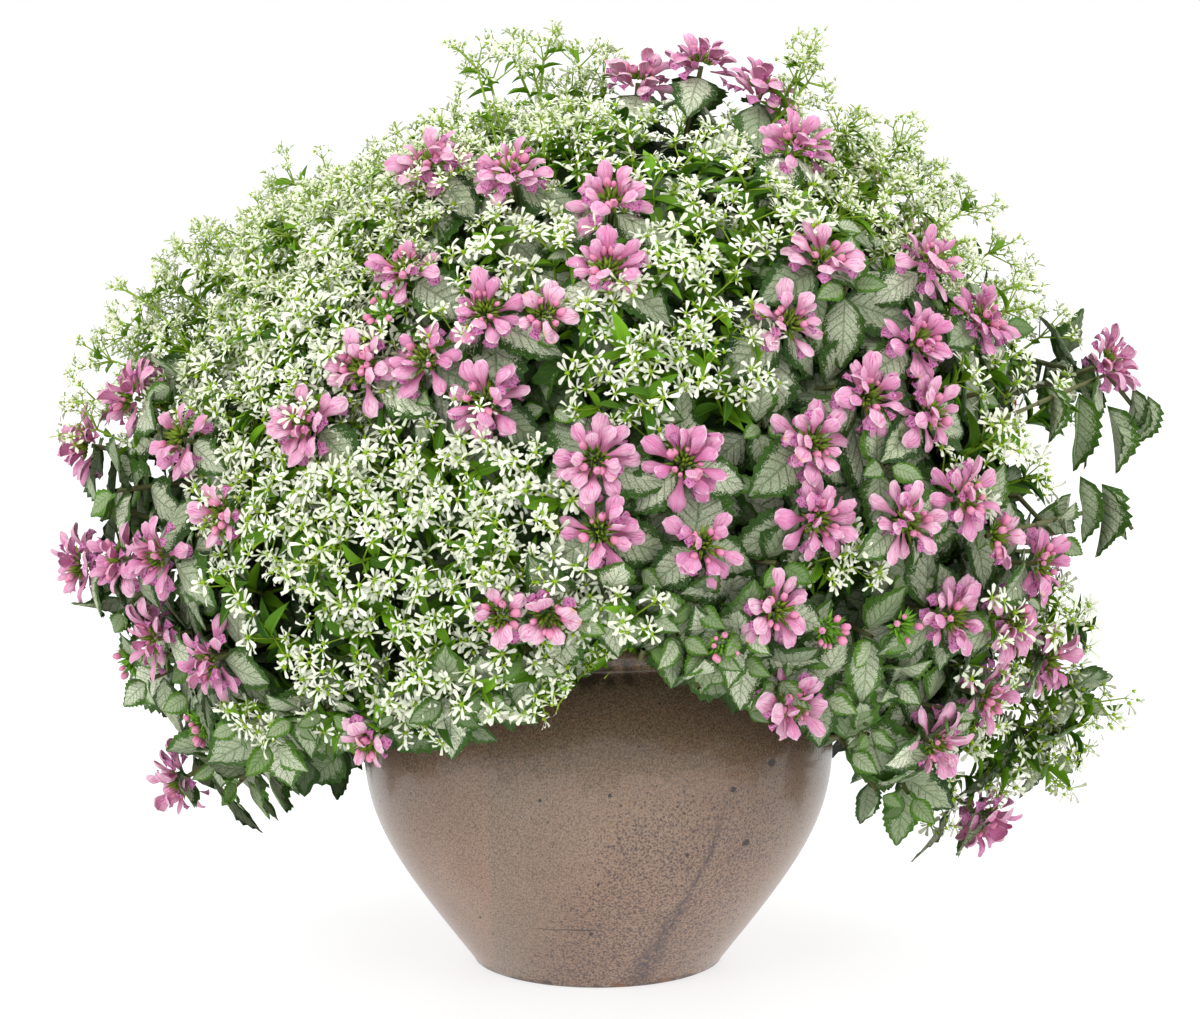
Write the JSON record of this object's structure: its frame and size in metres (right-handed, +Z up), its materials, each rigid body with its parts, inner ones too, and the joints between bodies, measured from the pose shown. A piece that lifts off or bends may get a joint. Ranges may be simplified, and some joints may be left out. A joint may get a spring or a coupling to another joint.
{
  "type": "potted spotted deadnettle",
  "caption": "Round-bellied glazed pot planted with a dense mound of spotted deadnettle, pink flower whorls and silver toothed leaves, with airy white-bracted spurge.",
  "frame": {"origin": "centre of the pot's flat foot, at the height of the surface that it stands on", "axes": "+Z up along the pot's axis, +X across the planting's width to the viewer's right, -Y towards the viewer of the picture"},
  "size_m": [0.6435, 0.5107, 0.5584],
  "materials": {
    "pot_glaze": "speckled taupe-brown glaze, gloss, with a darker olive-brown band on the shoulder",
    "soil": "dark crumbly matte",
    "deadnettle_foliage": "matte silver-centred leaves with green margins",
    "deadnettle_petals": "soft matte pink petals",
    "spurge_foliage": "matte white bracts on lime-green stems with mid-green leaves"
  },
  "bodies": {
    "root": {"pot": "pot_glaze", "potting_soil": "soil", "deadnettle_shoot_01": "deadnettle_foliage", "deadnettle_shoot_02": "deadnettle_foliage", "deadnettle_shoot_03": "deadnettle_foliage", "deadnettle_shoot_04": "deadnettle_foliage", "deadnettle_shoot_05": "deadnettle_foliage", "deadnettle_shoot_06": "deadnettle_foliage", "deadnettle_shoot_07": "deadnettle_foliage", "deadnettle_shoot_08": "deadnettle_foliage", "spurge_shoot_09": "spurge_foliage", "spurge_shoot_10": "spurge_foliage", "spurge_shoot_11": "spurge_foliage", "spurge_shoot_12": "spurge_foliage", "spurge_shoot_13": "spurge_foliage", "deadnettle_shoot_14": "deadnettle_foliage", "deadnettle_shoot_15": "deadnettle_foliage", "deadnettle_shoot_16": "deadnettle_foliage", "spurge_shoot_17": "spurge_foliage", "spurge_shoot_18": "spurge_foliage", "spurge_shoot_19": "spurge_foliage", "deadnettle_bloom_01": "deadnettle_petals", "deadnettle_bloom_02": "deadnettle_petals", "deadnettle_bloom_03": "deadnettle_petals", "deadnettle_bloom_04": "deadnettle_petals", "deadnettle_bloom_05": "deadnettle_petals", "deadnettle_bloom_06": "deadnettle_petals", "deadnettle_bloom_07": "deadnettle_petals", "deadnettle_bloom_08": "deadnettle_petals", "deadnettle_bloom_09": "deadnettle_petals", "deadnettle_bloom_10": "deadnettle_petals", "deadnettle_bloom_11": "deadnettle_petals", "deadnettle_bloom_12": "deadnettle_petals", "deadnettle_bloom_13": "deadnettle_petals", "deadnettle_bloom_14": "deadnettle_petals", "deadnettle_bloom_15": "deadnettle_petals", "deadnettle_bloom_16": "deadnettle_petals", "deadnettle_bloom_17": "deadnettle_petals", "deadnettle_bloom_18": "deadnettle_petals", "deadnettle_bloom_19": "deadnettle_petals", "deadnettle_bloom_20": "deadnettle_petals", "deadnettle_bloom_21": "deadnettle_petals", "deadnettle_bloom_22": "deadnettle_petals", "deadnettle_bloom_23": "deadnettle_petals", "deadnettle_bloom_24": "deadnettle_petals", "deadnettle_bloom_25": "deadnettle_petals", "deadnettle_bloom_26": "deadnettle_petals", "deadnettle_bloom_27": "deadnettle_petals", "deadnettle_bloom_28": "deadnettle_petals", "deadnettle_bloom_29": "deadnettle_petals", "deadnettle_bloom_30": "deadnettle_petals", "deadnettle_bloom_31": "deadnettle_petals", "deadnettle_bloom_32": "deadnettle_petals", "deadnettle_bloom_33": "deadnettle_petals", "deadnettle_bloom_34": "deadnettle_petals", "deadnettle_bloom_35": "deadnettle_petals"}
  },
  "joints": []
}
